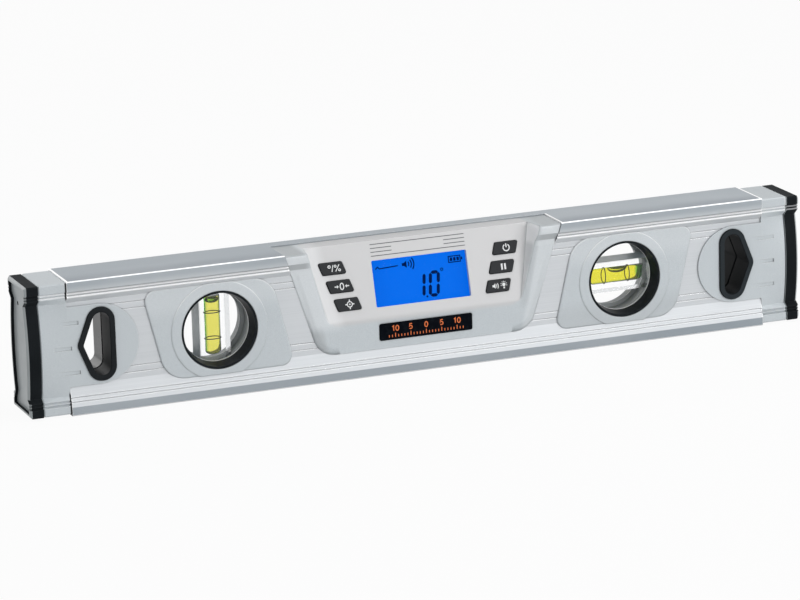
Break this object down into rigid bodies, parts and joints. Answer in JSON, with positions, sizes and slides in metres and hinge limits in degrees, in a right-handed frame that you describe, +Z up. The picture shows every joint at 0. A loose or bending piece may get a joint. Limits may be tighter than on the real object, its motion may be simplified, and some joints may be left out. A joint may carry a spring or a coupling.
{
  "type": "digital spirit level",
  "caption": "Box-section aluminium spirit level with a tilted digital inclination display, plumb and level vials, grip holes and rubber end bumpers.",
  "frame": {"origin": "centre of the base face, on the surface the level stands on", "axes": "+X along the length towards the level vial, +Z up, -Y out of the display side"},
  "size_m": [0.4, 0.029, 0.065],
  "materials": {
    "anodised_aluminium": "satin",
    "light_grey_plastic": "satin",
    "black_rubber": "matte",
    "black_plastic": "gloss",
    "button_black": "satin",
    "clear_acrylic": "gloss",
    "vial_fluid": "gloss",
    "bubble_gas": "gloss",
    "mark_black": "matte",
    "lcd_blue": "gloss",
    "backlight_white": "satin",
    "elastomer": "matte",
    "board_green": "satin",
    "component_black": "matte",
    "plated_steel": "polished",
    "cell_jacket": "satin"
  },
  "bodies": {
    "body": {"backlight": "backlight_white", "badge_plate": "black_plastic", "battery_bridge": "plated_steel", "battery_terminals": "plated_steel", "board_screws": "plated_steel", "buzzer": "component_black", "circuit_board": "board_green", "contact_strip": "elastomer", "display_window": "clear_acrylic", "front_housing": "light_grey_plastic", "housing_screws": "plated_steel", "inclination_sensor": "component_black", "lcd_panel": "lcd_blue", "left_bumper": "black_rubber", "left_end_cap": "light_grey_plastic", "left_grip_liner_front": "black_rubber", "left_grip_liner_rear": "black_rubber", "level_bezel_front": "light_grey_plastic", "level_bezel_rear": "light_grey_plastic", "level_fluid": "vial_fluid", "level_marks": "mark_black", "level_plug": "clear_acrylic", "level_ring_front": "black_plastic", "level_ring_rear": "black_plastic", "level_vial": "clear_acrylic", "lower_battery": "cell_jacket", "plumb_bezel_front": "light_grey_plastic", "plumb_bezel_rear": "light_grey_plastic", "plumb_fluid": "vial_fluid", "plumb_marks": "mark_black", "plumb_plug": "clear_acrylic", "plumb_ring_front": "black_plastic", "plumb_ring_rear": "black_plastic", "plumb_vial": "clear_acrylic", "processor_chips": "component_black", "profile": "anodised_aluminium", "rear_housing": "light_grey_plastic", "right_bumper": "black_rubber", "right_end_cap": "light_grey_plastic", "right_grip_liner_front": "black_rubber", "right_grip_liner_rear": "black_rubber", "tact_switches": "component_black", "upper_battery": "cell_jacket"},
    "unit_button": {"unit_button": "button_black"},
    "reference_button": {"reference_button": "button_black"},
    "calibration_button": {"calibration_button": "button_black"},
    "power_button": {"power_button": "button_black"},
    "hold_button": {"hold_button": "button_black"},
    "sound_light_button": {"sound_light_button": "button_black"},
    "battery_door": {"battery_door": "light_grey_plastic"},
    "level_bubble": {"level_bubble": "bubble_gas"},
    "plumb_bubble": {"plumb_bubble": "bubble_gas"}
  },
  "joints": [
    {"name": "unit_press", "type": "slide", "parent": "body", "child": "unit_button", "axis": [0, 0.9659, -0.2588], "range_m": [0, 0.0008], "stiffness_N_per_m": 150},
    {"name": "reference_press", "type": "slide", "parent": "body", "child": "reference_button", "axis": [0, 0.9659, -0.2588], "range_m": [0, 0.0008], "stiffness_N_per_m": 150},
    {"name": "calibration_press", "type": "slide", "parent": "body", "child": "calibration_button", "axis": [0, 0.9659, -0.2588], "range_m": [0, 0.0008], "stiffness_N_per_m": 150},
    {"name": "power_press", "type": "slide", "parent": "body", "child": "power_button", "axis": [0, 0.9659, -0.2588], "range_m": [0, 0.0008], "stiffness_N_per_m": 150},
    {"name": "hold_press", "type": "slide", "parent": "body", "child": "hold_button", "axis": [0, 0.9659, -0.2588], "range_m": [0, 0.0008], "stiffness_N_per_m": 150},
    {"name": "sound_light_press", "type": "slide", "parent": "body", "child": "sound_light_button", "axis": [0, 0.9659, -0.2588], "range_m": [0, 0.0008], "stiffness_N_per_m": 150},
    {"name": "battery_door_hinge", "type": "hinge", "parent": "body", "child": "battery_door", "pos_m": [0, 0.0119, 0.0177], "axis": [-1, 0, 0], "range_deg": [0, 90]},
    {"name": "level_bubble_slide", "type": "slide", "parent": "body", "child": "level_bubble", "axis": [1, 0, 0], "range_m": [-0.01, 0.008], "stiffness_N_per_m": 1, "deforming": ["level_fluid"]},
    {"name": "plumb_bubble_slide", "type": "slide", "parent": "body", "child": "plumb_bubble", "axis": [0, 0, 1], "range_m": [-0.0253, 0], "stiffness_N_per_m": 5, "springref_m": 0.005, "deforming": ["plumb_fluid"]}
  ]
}
